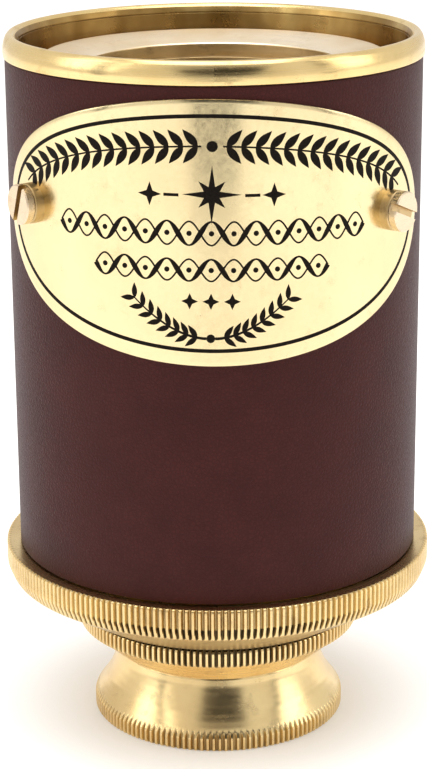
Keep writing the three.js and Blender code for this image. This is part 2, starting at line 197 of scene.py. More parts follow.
def blackened():
    n = Nodes("blackened_brass")
    where = n.turned_coords()
    fine = n.noise(where, 5000, 3)
    worn = n.noise(n.coords(), 500, 5, 0.7)
    colour = n.ramp(worn, (0.55, (0.018, 0.015, 0.013)), (0.8, (0.10, 0.07, 0.04)))
    n.set(
        Metallic=0.6,
        Roughness=n.grey_ramp(worn, (0.3, 0.65), (0.8, 0.45)),
        Normal=n.bump(fine, 0.3, 0.00004),
    )
    n.tree.links.new(colour, n.bsdf.inputs["Base Color"])
    return n.material


def glass():
    n = Nodes("lens_glass")
    dust = n.noise(n.coords(), 1500, 4)
    n.set(
        **{"Base Color": (0.96, 0.985, 0.97, 1), "Transmission Weight": 1.0, "IOR": 1.52},
        Roughness=n.grey_ramp(dust, (0.5, 0.0), (0.85, 0.08)),
    )
    return n.material


def leather():
    n = Nodes("oxblood_leather")
    where = n.coords()
    cells = n.add("ShaderNodeTexVoronoi", Vector=where, Scale=2100.0)
    cells.feature = "DISTANCE_TO_EDGE"
    pebble = n.grey_ramp(cells.outputs["Distance"], (0.0, 0.0), (0.22, 1.0))
    fine = n.noise(where, 3800, 4, 0.6)
    broad = n.noise(where, 160, 4, 0.6)
    pale_specks_and_glints = n.noise(where, 6500, 2, 0.5)
    colour = n.ramp(broad, (0.3, (0.042, 0.0078, 0.0066)), (0.7, (0.054, 0.0105, 0.0088)))
    # painted shade: the creases between the grain's pebbles are darkened in the colour
    crease_shade = n.math("SUBTRACT", 1.0, pebble)
    colour = n.mix(n.math("MULTIPLY", crease_shade, 0.35), colour, (0.018, 0.005, 0.005, 1))
    # pale specks in the grain, partly painted glints of light grazing the grain
    colour = n.mix(n.grey_ramp(pale_specks_and_glints, (0.62, 0.0), (0.8, 0.25)), colour, (0.13, 0.05, 0.045, 1))
    normal = n.bump(pebble, 0.35, 0.00007)
    normal = n.bump(fine, 0.8, 0.00008, normal)
    n.set(
        **{"Specular IOR Level": 0.13, "Sheen Weight": 0.08, "Sheen Roughness": 0.35},
        Roughness=n.grey_ramp(fine, (0.3, 0.42), (0.7, 0.6)),
        Normal=normal,
    )
    n.tree.links.new(colour, n.bsdf.inputs["Base Color"])
    return n.material


def engraving_black():
    n = Nodes("black_filled_engraving")
    grit = n.noise(n.coords(), 5000, 3)
    colour = n.ramp(grit, (0.3, (0.003, 0.0022, 0.0016)), (0.8, (0.016, 0.011, 0.007)))
    n.set(
        **{"Specular IOR Level": 0.06},
        Roughness=n.grey_ramp(grit, (0.3, 0.4), (0.7, 0.65)),
        Normal=n.bump(grit, 0.4, 0.00003),
    )
    n.tree.links.new(colour, n.bsdf.inputs["Base Color"])
    return n.material


def inner_wall():
    """The inside of the barrel's mouth: browned brass with painted reflections, streaks that run up and down
    it.
    """
    n = Nodes("browned_inner_wall")
    parts = n.add("ShaderNodeSeparateXYZ", Vector=n.coords())
    x, y, z = parts.outputs
    angle = n.math("ARCTAN2", x, y)
    round_only = n.add("ShaderNodeCombineXYZ", X=angle, Z=n.math("MULTIPLY", z, 20.0))
    reflection_streaks = n.noise(round_only.outputs[0], 3.2, 3, 0.5)
    cloud = n.noise(n.coords(), 260, 4, 0.6)
    # painted reflections: lighter and darker streaks round the wall, running up and down it
    colour = n.ramp(
        reflection_streaks,
        (0.34, (0.22, 0.125, 0.034)),
        (0.5, (0.36, 0.22, 0.07)),
        (0.66, (0.55, 0.38, 0.14)),
    )
    colour = n.mix(n.grey_ramp(cloud, (0.45, 0.0), (0.8, 0.4)), colour, (0.22, 0.14, 0.045, 1))
    fine = n.noise(n.turned_coords(), 8000, 2, 0.7)
    n.set(
        Metallic=1.0,
        Roughness=n.grey_ramp(cloud, (0.3, 0.22), (0.7, 0.42)),
        Normal=n.bump(fine, 0.2, 0.00003),
    )
    n.tree.links.new(colour, n.bsdf.inputs["Base Color"])
    return n.material


CELL = brass(
    "objective_cell_brass", (0.96, 0.83, 0.64), (0.88, 0.71, 0.47), (0.5, 0.36, 0.2), (0.25, 0.4), 0.08, 0.3
)
SCREWS = brass(
    "screw_brass", (0.80, 0.65, 0.46), (0.72, 0.56, 0.38), (0.5, 0.34, 0.2), (0.2, 0.34), 0.06, 0.4
)
BLACKENED = blackened()
INNER_WALL = inner_wall()
GLASS = glass()
LEATHER = leather()
ENGRAVED = engraving_black()

# ---------------------------------------------------------------- geometry helpers


def finish_mesh(name, bm, material, smooth_angle=32):
    bmesh.ops.recalc_face_normals(bm, faces=bm.faces)
    mesh = bpy.data.meshes.new(name)
    bm.to_mesh(mesh)
    bm.free()
    for polygon in mesh.polygons:
        polygon.use_smooth = True
    mesh.set_sharp_from_angle(angle=math.radians(smooth_angle))
    mesh.materials.append(material)
    piece = bpy.data.objects.new(name, mesh)
    bpy.context.scene.collection.objects.link(piece)
    return piece


def eased(outline, radius, steps=3):
    """The closed outline with every corner rounded."""
    points = []
    count = len(outline)
    for index in range(count):
        before = Vector(outline[index - 1])
        corner = Vector(outline[index])
        after = Vector(outline[(index + 1) % count])
        into = before - corner
        out = after - corner
        reach = min(radius, 0.4 * into.length, 0.4 * out.length)
        start = corner + into.normalized() * reach
        end = corner + out.normalized() * reach
        for step in range(steps + 1):
            t = step / steps
            points.append(tuple(start * (1 - t) ** 2 + corner * 2 * t * (1 - t) + end * t * t))
    return points


def split_long(outline, longest):
    """The closed outline with its long edges cut into short ones."""
    points = []
    for index, here in enumerate(outline):
        after = outline[(index + 1) % len(outline)]
        length = math.dist(here, after)
        parts = max(1, math.ceil(length / longest))
        for part in range(parts):
            t = part / parts
            points.append((here[0] + (after[0] - here[0]) * t, here[1] + (after[1] - here[1]) * t))
    return points


def turned(name, outline, material, columns=ROUND, shape=None, on_axis=False):
    """A turned solid from a list of (radius, height) in mm. shape(angle, r, z) gives (r, darkening), the
    darkening being tarnish mixed with painted shade.
    """
    bm = bmesh.new()
    # a per-vertex darkening: tarnish mixed with painted shade in hollows and under rings
    layer = bm.verts.layers.float.new("grime_and_shade")
    rings = []
    for column in range(columns):
        angle = 2 * math.pi * column / columns
        ring = []
        for radius, height in outline:
            grime_and_shade = 0.0
            if shape:
                radius, grime_and_shade = shape(angle, radius, height)
            vert = bm.verts.new(
                (radius * math.sin(angle) * MM, -radius * math.cos(angle) * MM, height * MM)
            )
            vert[layer] = grime_and_shade
            ring.append(vert)
        rings.append(ring)
    last = len(outline) if not on_axis else len(outline) - 1
    for column in range(columns):
        here, there = rings[column], rings[(column + 1) % columns]
        for row in range(last):
            after = (row + 1) % len(outline)
            bm.faces.new((here[row], there[row], there[after], here[after]))
    if on_axis:
        bmesh.ops.remove_doubles(bm, verts=bm.verts, dist=1e-7)
    return finish_mesh(name, bm, material)


def knurl(outer_r, depth, teeth, groove_dirt_and_shade, skin_dirt_and_shade=lambda height: 0.0):
    """Straight knurling: flat-topped teeth with grooves cut down to one depth.
    The two functions give the darkening, from 0 to 1, in the grooves and on the rest, by height: tarnish
    mixed with painted shade."""

    def shape(angle, radius, height):
        place = (angle / (2 * math.pi) * teeth) % 1.0
        cut = min(1.0, max(0.0, 1 - abs(place - 0.7) / 0.29) * 1.9)
        floor_r = outer_r - (depth(height) if callable(depth) else depth) * cut
        if radius > floor_r + 1e-6:
            return floor_r, cut * groove_dirt_and_shade(height)
        return radius, skin_dirt_and_shade(height)

    return shape


def tube_outline(inner, outer, bottom, top, ease=0.12):
    return eased([(inner, bottom), (outer, bottom), (outer, top), (inner, top)], ease)


def span(node):
    """Lowest height, highest height and outer radius of a CAD node, in mm."""
    low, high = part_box(node)
    return low[2] / MM, high[2] / MM, high[0] / MM


def put(piece, body, *nodes):
    if nodes:
        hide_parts(*nodes)
    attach(piece, body)
    return piece


# ---------------------------------------------------------------- barrel

hood_low, hood_high, hood_r = span("hood_ring")
sleeve_low, sleeve_high, sleeve_r = span("leather_sleeve")
tube_low, tube_high, tube_r = span("barrel_tube")
end_low, end_high, end_r = span("barrel_end_ring")
HOOD_LIP = 23.7
TUBE_BORE = 23.4
SEAT = 0.05  # gap left between pieces that touch

put(
    turned(
        "barrel_tube_fine",
        tube_outline(TUBE_BORE, tube_r, tube_low, tube_high, 0.08),
        INNER_WALL,
    ),
    "barrel",
    "barrel_tube",
)

HOOD_SWELL_Z = hood_low + 0.7


def hood_face(height):
    """Radius of the hood's gently rounded outer face."""
    over = height - HOOD_SWELL_Z
    return hood_r + 0.02 - (0.15 if over > 0 else 0.1) * over**2


hood = [(tube_r + SEAT, hood_low), (hood_r - 0.1, hood_low)]
hood += [(hood_face(hood_low + 0.06 + 0.2 * i), hood_low + 0.06 + 0.2 * i) for i in range(12)]
hood += [
    (hood_r - 0.62, hood_high - 0.1),
    (hood_r - 0.85, hood_high - 0.01),
    (hood_r - 1.1, hood_high - 0.03),
    (HOOD_LIP + 0.15, hood_high - 0.2),
    (HOOD_LIP - 0.02, hood_high - 0.4),
    (TUBE_BORE + 0.02, tube_high + 0.2),
    (TUBE_BORE + 0.01, tube_high + 0.01),
    (tube_r + SEAT, tube_high + 0.01),
]
hood_piece = turned("hood_ring_fine", eased(hood, 0.06), POLISHED)
hood_piece.data.materials.append(INNER_WALL)
for polygon in hood_piece.data.polygons:
    if math.hypot(polygon.center.x, polygon.center.y) < (HOOD_LIP - 0.01) * MM:
        polygon.material_index = 1
put(hood_piece, "barrel", "hood_ring")


def leather_shape(angle, radius, height):
    """The butt seam down the back and a little unevenness."""
    from_back = (angle - math.pi) * sleeve_r
    if radius > sleeve_r - 0.4:
        radius -= 0.22 * math.exp(-((from_back / 0.3) ** 2))
        radius += 0.05 * math.exp(-(((abs(from_back) - 0.9) / 0.5) ** 2))
    return radius, 0.0


sleeve = split_long(eased([
    (tube_r + SEAT, sleeve_low),
    (sleeve_r, sleeve_low),
    (sleeve_r, sleeve_high),
    (tube_r + SEAT, sleeve_high),
], 0.2), 6)
put(turned("leather_sleeve_fine", sleeve, LEATHER, 720, leather_shape), "barrel", "leather_sleeve")

cell_low, cell_high, cell_r = span("objective_cell")
CELL_BOSS = 20.5
CELL_BORE = 15.7
CELL_LIP = 14.2
CELL_LIP_HIGH = 76.6
CELL_FLANGE_LOW = 77.0
CELL_FLANGE_HIGH = 80.0
cell = [
    (CELL_LIP, cell_low),
    (CELL_BOSS, cell_low),
    (CELL_BOSS, CELL_FLANGE_LOW),
    (cell_r, CELL_FLANGE_LOW),
    (cell_r, CELL_FLANGE_HIGH),
    (CELL_BOSS, CELL_FLANGE_HIGH),
    (CELL_BOSS, cell_high - 0.02),
    (CELL_BOSS - 0.25, cell_high),
    (CELL_BORE + 0.2, cell_high - 1.12),
    (CELL_BORE, cell_high - 1.3),
    (CELL_BORE, CELL_LIP_HIGH),
    (CELL_LIP, CELL_LIP_HIGH),
]
cell_piece = turned("objective_cell_fine", eased(cell, 0.1), CELL)
cell_piece.data.materials.append(AGED)
for polygon in cell_piece.data.polygons:
    if math.hypot(polygon.center.x, polygon.center.y) < (CELL_BORE + 0.05) * MM:
        polygon.material_index = 1
put(cell_piece, "barrel", "objective_cell")

ring_low, ring_high, ring_r = span("objective_retaining_ring")
RING_BORE = 14
put(
    turned(
        "objective_retaining_ring_fine",
        eased(
            [
                (RING_BORE, ring_low + 0.3),
                (ring_r, ring_low),
                (ring_r, ring_high),
                (RING_BORE, ring_high),
            ],
            0.1,
        ),
        AGED,
    ),
    "barrel",
    "objective_retaining_ring",
)


def lens_outline(node, bottom_rise, top_rise):
    """Half a lens from its axis out to the rim and back to the axis."""
    low, high, radius = span(node)
    shares = [i / 8 for i in range(9)]
    rim_low = low + max(0.0, bottom_rise)
    rim_high = high - max(0.0, top_rise)
    bottom = [(radius * s, rim_low - bottom_rise * (1 - s * s)) for s in shares]
    top = [(radius * s, rim_high + top_rise * (1 - s * s)) for s in reversed(shares)]
    return bottom + top


# each lens with the swell of its lower and upper face, hollow where negative
for node, body, bottom_rise, top_rise in (
    ("objective_flint_lens", "barrel", 0, -1),
    ("objective_crown_lens", "barrel", 1, 0.8),
    ("eye_lens", "draw_2", 0, 1.6),
    ("field_lens", "draw_2", 0, 1.4),
    ("erector_rear_lens", "draw_2", 0, 1.5),
    ("erector_front_lens", "draw_2", 1.5, 0),
):
    fine_lens = turned(node + "_fine", lens_outline(node, bottom_rise, top_rise), GLASS, 96, None, True)
    put(fine_lens, body, node)

END_THROAT_R = 16.2
END_SEAT_R = 18.05
END_MOUTH_R = 22.0
END_FLOOR_Z = 15.2
END_SEAT_Z = 17.8
END_LAND_Z = 23.0
end_ring = split_long(
    [
        (END_THROAT_R, end_low),
        (17.9, end_low),
        (18.15, end_low + 0.12),
        (24.75, 18.62),
        (25.1, 18.85),
        (end_r - 0.6, 19.45),
        (end_r - 0.47, 19.65),
        (end_r - 0.03, 20.76),
        (end_r, 20.84),
        (end_r, 20.95),
        (end_r, end_high - 0.28),
        (end_r - 0.06, end_high - 0.12),
        (end_r - 0.22, end_high - 0.02),
        (25.15, end_high - 0.06),
        (tube_r + SEAT, end_high - 0.08),
        (tube_r + SEAT, tube_low - SEAT),
        (TUBE_BORE - SEAT, tube_low - SEAT),
        (TUBE_BORE - SEAT, END_LAND_Z),
        (END_MOUTH_R, END_LAND_Z),
        (END_MOUTH_R, END_SEAT_Z),
        (END_SEAT_R, END_SEAT_Z),
        (END_SEAT_R, END_FLOOR_Z),
        (END_THROAT_R, END_FLOOR_Z),
    ],
    0.35,
)
END_TEETH = 218
END_KNURL_LOW = 20.82
END_CONE_HIGH = 19.3


def end_groove_depth(height):
    """The grooves run out deep in the chamfer, as a row of dark drops."""
    return 0.4 if height > END_KNURL_LOW else 0.78


def end_groove_dirt_and_shade(height):
    """Tarnish and painted shade: brown on the upright face, black where the grooves run out, a painted shadow
    seen between the teeth.
    """
    return 0.5 if height > END_KNURL_LOW else 1.0


def end_skin_dirt_and_shade(height):
    """Painted shade on the cone under the ring, black at the joint line, faintly dull on the upright face."""
    if height < end_low + 0.14:
        return 1.0
    if height < END_CONE_HIGH:
        return 0.42
    return 0.1 if height > END_KNURL_LOW + 0.2 else 0.0


end_knurl = knurl(end_r, end_groove_depth, END_TEETH, end_groove_dirt_and_shade, end_skin_dirt_and_shade)
put(
    turned("barrel_end_ring_fine", end_ring, KNURLED, END_TEETH * 8, end_knurl),
    "barrel",
    "barrel_end_ring",
)

# ---------------------------------------------------------------- nameplate

PLATE_IN, PLATE_OUT = 25.06, 25.56
PLATE_A, PLATE_B = 30.45, 15.2
PLATE_STEPS = 28  # from the middle to the edge, short enough to follow the barrel's curve
PLATE_Z = 67.95
PLATE_S = -0.4
PLATE_TILT = math.radians(-0.85)


def on_plate(s, z, radius):
    """A point of the plate's own flat layout, wrapped round the barrel."""
    c, k = math.cos(PLATE_TILT), math.sin(PLATE_TILT)
    arc = (s * c - z * k + PLATE_S) / PLATE_OUT
    height = PLATE_Z + s * k + z * c
    return Vector((radius * math.sin(arc) * MM, -radius * math.cos(arc) * MM, height * MM))


def make_plate():
    bm = bmesh.new()
    columns = 240
    shares = [step / PLATE_STEPS for step in range(PLATE_STEPS)]
    levels = [(share, PLATE_IN) for share in shares]
    levels += [
        (0.995, PLATE_IN), (1.0, PLATE_IN + 0.04),
        (1.0, PLATE_OUT - 0.12), (0.9965, PLATE_OUT - 0.03), (0.992, PLATE_OUT),
    ]
    levels += [(share, PLATE_OUT) for share in reversed(shares)]
    loops = []
    for share, radius in levels:
        if share == 0.0:
            loops.append([bm.verts.new(on_plate(0, 0, radius))])
            continue
        loop = []
        for column in range(columns):
            turn = 2 * math.pi * column / columns
            s = PLATE_A * share * math.cos(turn)
            z = PLATE_B * share * math.sin(turn)
            loop.append(bm.verts.new(on_plate(s, z, radius)))
        loops.append(loop)
    for lower, upper in zip(loops, loops[1:]):
        for column in range(columns):
            after = (column + 1) % columns
            if len(lower) == 1:
                bm.faces.new((lower[0], upper[column], upper[after]))
            elif len(upper) == 1:
                bm.faces.new((lower[column], lower[after], upper[0]))
            else:
                bm.faces.new((lower[column], lower[after], upper[after], upper[column]))
    return finish_mesh("nameplate_fine", bm, PLATE, 25)


put(make_plate(), "barrel", "nameplate")

# ---------------------------------------------------------------- engraved ornament

INK_R = PLATE_OUT + 0.02


class Engraving:
    """Flat black shapes laid out on the plate, each cut fine enough to follow its curve."""

    def __init__(self):
        self.bm = bmesh.new()

    def strip(self, points, widths):
        edges = []
        for index, (s, z) in enumerate(points):
            before = points[max(0, index - 1)]
            after = points[min(len(points) - 1, index + 1)]
            along = Vector((after[0] - before[0], after[1] - before[1])).normalized()
            side = Vector((-along.y, along.x)) * widths[index] / 2
            edges.append((
                self.bm.verts.new((s + side.x, z + side.y, 0)),
                self.bm.verts.new((s - side.x, z - side.y, 0)),
            ))
        for (a, b), (c, d) in zip(edges, edges[1:]):
            self.bm.faces.new((a, b, d, c))

    def line(self, start, end, width):
        parts = 8
        points = []
        for i in range(parts + 1):
            s = start[0] + (end[0] - start[0]) * i / parts
            z = start[1] + (end[1] - start[1]) * i / parts
            points.append((s, z))
        self.strip(points, [width] * (parts + 1))

    def fan(self, centre, outline):
        middle = self.bm.verts.new((*centre, 0))
        verts = [self.bm.verts.new((s, z, 0)) for s, z in outline]
        for index, vert in enumerate(verts):
            self.bm.faces.new((middle, vert, verts[(index + 1) % len(verts)]))

    def dot(self, centre, radius):
        steps = 24
        outline = []
        for i in range(steps):
            turn = 2 * math.pi * i / steps
            outline.append((centre[0] + radius * math.cos(turn), centre[1] + radius * math.sin(turn)))
        self.fan(centre, outline)

    def leaf(self, base, direction, length, width):
        """A pointed leaf from its base, fattest a little before the middle."""
        steps = 12
        points = []
        widths = []
        for i in range(steps + 1):
            t = i / steps
            reach = length * t
            points.append((base[0] + math.cos(direction) * reach, base[1] + math.sin(direction) * reach))
            widths.append(width * math.sin(math.pi * t ** 0.8) + 0.02)
        self.strip(points, widths)

    def star(self, centre, long, short, waist, rays):
        outline = []
        for i in range(rays * 2):
            angle = math.pi * i / rays + math.pi / 2
            reach = waist if i % 2 else (long if i % 4 == 0 else short)
            outline.append((centre[0] + reach * math.cos(angle), centre[1] + reach * math.sin(angle)))
        self.fan(centre, outline)

    def piece(self):
        """Cuts the flat shapes into upright strips, so that none is too wide to bend, and bends them."""
        cut = 0.5 - PLATE_A
        while cut < PLATE_A:
            everything = self.bm.verts[:] + self.bm.edges[:] + self.bm.faces[:]
            bmesh.ops.bisect_plane(self.bm, geom=everything, plane_co=(cut, 0, 0), plane_no=(1, 0, 0))
            cut += 1.0
        for vert in self.bm.verts:
            vert.co = on_plate(vert.co.x, vert.co.y, INK_R)
        return finish_mesh("nameplate_engraving", self.bm, ENGRAVED)


ink = Engraving()


def oval(a, b, turn):
    return a * math.cos(turn), b * math.sin(turn)


# the border line
BORDER = 1.85
BORDER_WIDTH = 0.44
BORDER_STEPS = 360
border_points = []
for i in range(BORDER_STEPS + 1):
    border_points.append(oval(PLATE_A - BORDER, PLATE_B - BORDER, 2 * math.pi * i / BORDER_STEPS))
ink.strip(border_points, [BORDER_WIDTH] * (BORDER_STEPS + 1))

# a laurel band along the upper edge
BAND_A, BAND_B = 27.0, 10.0
PAIRS = 15
PAIR_PITCH = 1.62
LEAF_LEAN = 0.85
LEAF_LENGTH, LEAF_WIDTH = 2.5, 0.92
STEM_START, STEM_LENGTH, STEM_WIDTH = 1.2, 24.0, 0.2
STEM_POINTS = 60
FIRST_PAIR = 1.6
for side in (-1, 1):
    stem = []
    for i in range(STEM_POINTS):
        s = side * (STEM_START + STEM_LENGTH * i / (STEM_POINTS - 1))
        stem.append((s, BAND_B * math.sqrt(1 - (s / BAND_A) ** 2)))
    ink.strip(stem, [STEM_WIDTH] * STEM_POINTS)
    place = FIRST_PAIR
    for _ in range(PAIRS):
        s = side * place
        z = BAND_B * math.sqrt(1 - (s / BAND_A) ** 2)
        slope = math.atan2(-BAND_B * s / (BAND_A**2 * math.sqrt(1 - (s / BAND_A) ** 2)), 1)
        heading = slope if side > 0 else slope + math.pi
        for lean in (-LEAF_LEAN, LEAF_LEAN):
            ink.leaf((s, z), heading + lean, LEAF_LENGTH, LEAF_WIDTH)
        place += PAIR_PITCH * math.cos(slope)
ink.dot((0, BAND_B), 0.62)

# a compass star between two small stars
STAR = (0, 4.6)
ink.star(STAR, 3.3, 2.1, 0.95, 8)
for side in (-1, 1):
    ink.star((side * 7.0, 4.5), 1.35, 1.35, 0.5, 4)
    ink.line((side * 3.7, 4.5), (side * 5.4, 4.5), 0.34)


def plait(centre_z, half, swing, length):
    """Two crossing waves with a dot in each eye."""
    steps = 220
    for sign in (-1, 1):
        points = []
        widths = []
        for i in range(steps + 1):
            s = -half + 2 * half * i / steps
            phase = 2 * math.pi * s / length
            points.append((s, centre_z + sign * swing * math.cos(phase)))
            widths.append(0.2 + 0.42 * abs(math.sin(phase)) ** 2 if sign > 0 else 0.2)
        ink.strip(points, widths)
    eyes = int(half / (length / 2))
    for eye in range(-eyes, eyes + 1):
        if abs(eye * length / 2) < half - 0.8:
            ink.dot((eye * length / 2, centre_z), 0.3)


plait(0.2, 18.75, 1.35, 5.0)
plait(-4.0, 13.75, 1.25, 5.0)

# two laurel sprays along the lower edge, with small stars between them
SMALL_STAR_GAP, SMALL_STAR_Z = 2.4, -7.6
SPRAY_START, SPRAY_LENGTH = 0.5, 8.3
SPRAY_Z, SPRAY_RISE, SPRAY_BEND = -11.9, 4.3, 1.8
SPRAY_STEPS = 24
SPRAY_LEAF_EVERY = 3
SPRAY_LEAF_LEAN = 0.8
for place in (-1, 0, 1):
    ink.star((place * SMALL_STAR_GAP, SMALL_STAR_Z), 0.95, 0.95, 0.42, 4)
for side in (-1, 1):
    spray = []
    for i in range(SPRAY_STEPS + 1):
        t = i / SPRAY_STEPS
        spray.append((side * (SPRAY_START + SPRAY_LENGTH * t), SPRAY_Z + SPRAY_RISE * t**SPRAY_BEND))
    ink.strip(spray, [0.34 - 0.2 * i / SPRAY_STEPS for i in range(SPRAY_STEPS + 1)])
    for i in range(SPRAY_LEAF_EVERY, SPRAY_STEPS + 1, SPRAY_LEAF_EVERY):
        s, z = spray[i]
        back = spray[i - 1]
        heading = math.atan2(z - back[1], s - back[0])
        for lean in (-SPRAY_LEAF_LEAN, SPRAY_LEAF_LEAN):
            ink.leaf((s, z), heading + lean, 1.75, 0.62)
ink.dot((0, SPRAY_Z), 0.5)
engraving = ink.piece()
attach(engraving, "barrel")

# ---------------------------------------------------------------- plate screws

HEAD_R = 2.35
SHANK_R = 1.2
SHANK_TIP = 23.5
WASHER_BORE = 1.35
WASHER_SINK = 0.02
HEAD_LOW, HEAD_HIGH = 26.62, 27.7
SLOT_WIDTH, SLOT_DEPTH = 0.85, 0.75
WASHER_LOW, WASHER_HIGH = 25.62, 26.6


def stand_on_barrel(piece, angle, height):
    turn = Matrix.Rotation(angle, 4, "Z") @ Matrix.Rotation(math.pi / 2, 4, "X")
    piece.data.transform(Matrix.Translation((0, 0, height * MM)) @ turn)


def blacken_slot(mesh):
    """The slot's floor and walls take the darker aged brass; the turned faces stay bright."""
    mesh.materials.append(AGED)
    for polygon in mesh.polygons:
        deep = abs(polygon.center.z - (HEAD_HIGH - SLOT_DEPTH) * MM) < 0.02 * MM
        upright = abs(polygon.normal.z) < 0.1
        inside = polygon.center.xy.length < (HEAD_R - 0.1) * MM and polygon.center.z > HEAD_LOW * MM
        if deep or (upright and inside):
            polygon.material_index = len(mesh.materials) - 1


def screw(name, angle, height, slot_turn):
    outline = [
        (0, SHANK_TIP),
        (SHANK_R, SHANK_TIP),
        (SHANK_R, HEAD_LOW),
        (HEAD_R - 0.14, HEAD_LOW),
        (HEAD_R, HEAD_LOW + 0.14),
        (HEAD_R, HEAD_HIGH - 0.16),
        (HEAD_R - 0.14, HEAD_HIGH),
        (0, HEAD_HIGH),
    ]
    piece = turned(name + "_fine", outline, SCREWS, 72, None, True)
    bm = bmesh.new()
    bmesh.ops.create_cube(bm, size=1)
    bmesh.ops.scale(bm, vec=(SLOT_WIDTH * MM, 3 * HEAD_R * MM, 2 * SLOT_DEPTH * MM), verts=bm.verts)
    cutter = finish_mesh("slot_cutter", bm, BLACKENED)
    cutter.data.transform(Matrix.Translation((0, 0, HEAD_HIGH * MM)) @ Matrix.Rotation(slot_turn, 4, "Z"))
    cut = piece.modifiers.new("slot", "BOOLEAN")
    cut.object = cutter
    cut.operation = "DIFFERENCE"
    cut.solver = "EXACT"
    bpy.context.view_layer.update()
    graph = bpy.context.evaluated_depsgraph_get()
    carved = bpy.data.meshes.new_from_object(piece.evaluated_get(graph))
    piece.modifiers.clear()
    piece.data = carved
    bpy.data.objects.remove(cutter)
    blacken_slot(carved)
    stand_on_barrel(piece, angle, height)
    carved.set_sharp_from_angle(angle=math.radians(30))
    return piece


def washer(name, angle, height):
    outline = [
        (WASHER_BORE, WASHER_LOW),
        (HEAD_R, WASHER_LOW),
        (HEAD_R, WASHER_HIGH - 0.12),
        (HEAD_R - 0.12, WASHER_HIGH),
        (WASHER_BORE, WASHER_HIGH),
    ]
    piece = turned(name + "_fine", outline, AGED, 72)
    for vert in piece.data.vertices:
        if vert.co.z < (WASHER_LOW + 0.3) * MM:  # its underside is filed to sit on the curved plate
            seat = math.sqrt((PLATE_OUT * MM) ** 2 - vert.co.x**2)
            vert.co.z += seat - (WASHER_LOW + WASHER_SINK) * MM
    stand_on_barrel(piece, angle, height)
    return piece


# each screw's angle round the barrel and the turn of its slot, in degrees
for side, angle, slot_turn in (("left", -55, -19), ("right", 52.5, 68)):
    low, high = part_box("nameplate_screw_" + side)
    height = (low[2] + high[2]) / 2 / MM
    angle = math.radians(angle)
    head = screw("nameplate_screw_" + side, angle, height, math.radians(slot_turn))
    put(head, "barrel", "nameplate_screw_" + side)
    ring = washer("nameplate_washer_" + side, angle, height)
    put(ring, "barrel", "nameplate_washer_" + side)

# ---------------------------------------------------------------- first draw

low, high, radius = span("draw_1_tube")
DRAW_1_BORE = 15.2
put(
    turned("draw_1_tube_fine", tube_outline(DRAW_1_BORE, radius, low, high), DRAWN),
    "draw_1",
    "draw_1_tube",
)

low, high, radius = span("draw_1_collar")
COLLAR_TEETH = 146
COLLAR_THROAT_R = 11.8
COLLAR_GUIDE_R = 13.0
COLLAR_SPIGOT_R = 15.15  # the part that enters the draw tube
COLLAR_TUBE_R = 16.05  # clears the outside of the draw tube
COLLAR_FLOOR_Z = 9.2
COLLAR_BEVEL_Z = 12.0
COLLAR_SEAT_Z = 12.9
COLLAR_SPIGOT_Z = 13.6
collar = split_long(
    [
        (COLLAR_THROAT_R, low),
        (13.3, low),
        (13.45, low + 0.1),
        (17.0, 11.75),
        (17.35, COLLAR_BEVEL_Z),
        (radius - 0.1, 12.2),
        (radius, 12.4),
        (radius, high - 0.3),
        (radius - 0.12, high - 0.08),
        (radius - 0.35, high),
        (COLLAR_TUBE_R, high),
        (COLLAR_TUBE_R, COLLAR_SEAT_Z),
        (COLLAR_SPIGOT_R, COLLAR_SEAT_Z),
        (COLLAR_SPIGOT_R, COLLAR_SPIGOT_Z),
        (COLLAR_GUIDE_R, COLLAR_SPIGOT_Z),
        (COLLAR_GUIDE_R, COLLAR_FLOOR_Z),
        (COLLAR_THROAT_R, COLLAR_FLOOR_Z),
    ],
    0.3,
)


def collar_groove_dirt_and_shade(height):
    """Tarnish and painted shade, black all the way along the groove."""
    return 1.0


def collar_skin_darkening(height):
    """A little darker and duller on the bevel below the teeth."""
    return 0.1 if height < COLLAR_BEVEL_Z else 0.0


collar_knurl = knurl(radius, 0.5, COLLAR_TEETH, collar_groove_dirt_and_shade, collar_skin_darkening)
put(
    turned("draw_1_collar_fine", collar, KNURLED, COLLAR_TEETH * 8, collar_knurl),
    "draw_1",
    "draw_1_collar",
)

# ---------------------------------------------------------------- second draw

low, high, radius = span("draw_2_tube")
DRAW_2_BORE = 10.8
put(
    turned("draw_2_tube_fine", tube_outline(DRAW_2_BORE, radius, low, high), DRAWN),
    "draw_2",
    "draw_2_tube",
)

low, high, radius = span("eyepiece_cup")
CUP_TEETH = 132
CUP_SOCKET_R = 11.65
CUP_SHELF_R = 10.75
EYE_HOLE_R = 4.0
CUP_SHELF_Z = 4.3
CUP_FLOOR_Z = 3.0
cup = split_long(
    [
        (12.0, low + 0.08),
        (12.3, low),
        (radius - 0.3, low),
        (radius - 0.08, low + 0.06),
        (radius, low + 0.25),
        (radius, 1.6),
        (15.9, 1.9),
        (15.65, 2.3),
        (15.34, 2.68),
        (14.75, 3.52),
        (14.22, 4.36),
        (13.84, 5.2),
        (13.38, 6.3),
        (13.0, 7.3),
        (12.75, high - 0.12),
        (12.65, high),
        (CUP_SOCKET_R, high),
        (CUP_SOCKET_R, CUP_SHELF_Z),
        (CUP_SHELF_R, CUP_SHELF_Z),
        (CUP_SHELF_R, CUP_FLOOR_Z),
        (EYE_HOLE_R, CUP_FLOOR_Z),
        (EYE_HOLE_R, 2.3),
        (4.15, 2.15),
        (5.5, 1.85),
        (8.0, 1.25),
        (10.5, 0.55),
    ],
    0.3,
)


def cup_groove_dirt_and_shade(height):
    """Tarnish and painted shade in the grooves, at a lower strength: the foot is handled most, so its grooves
    are cleaner.
    """
    return 0.45


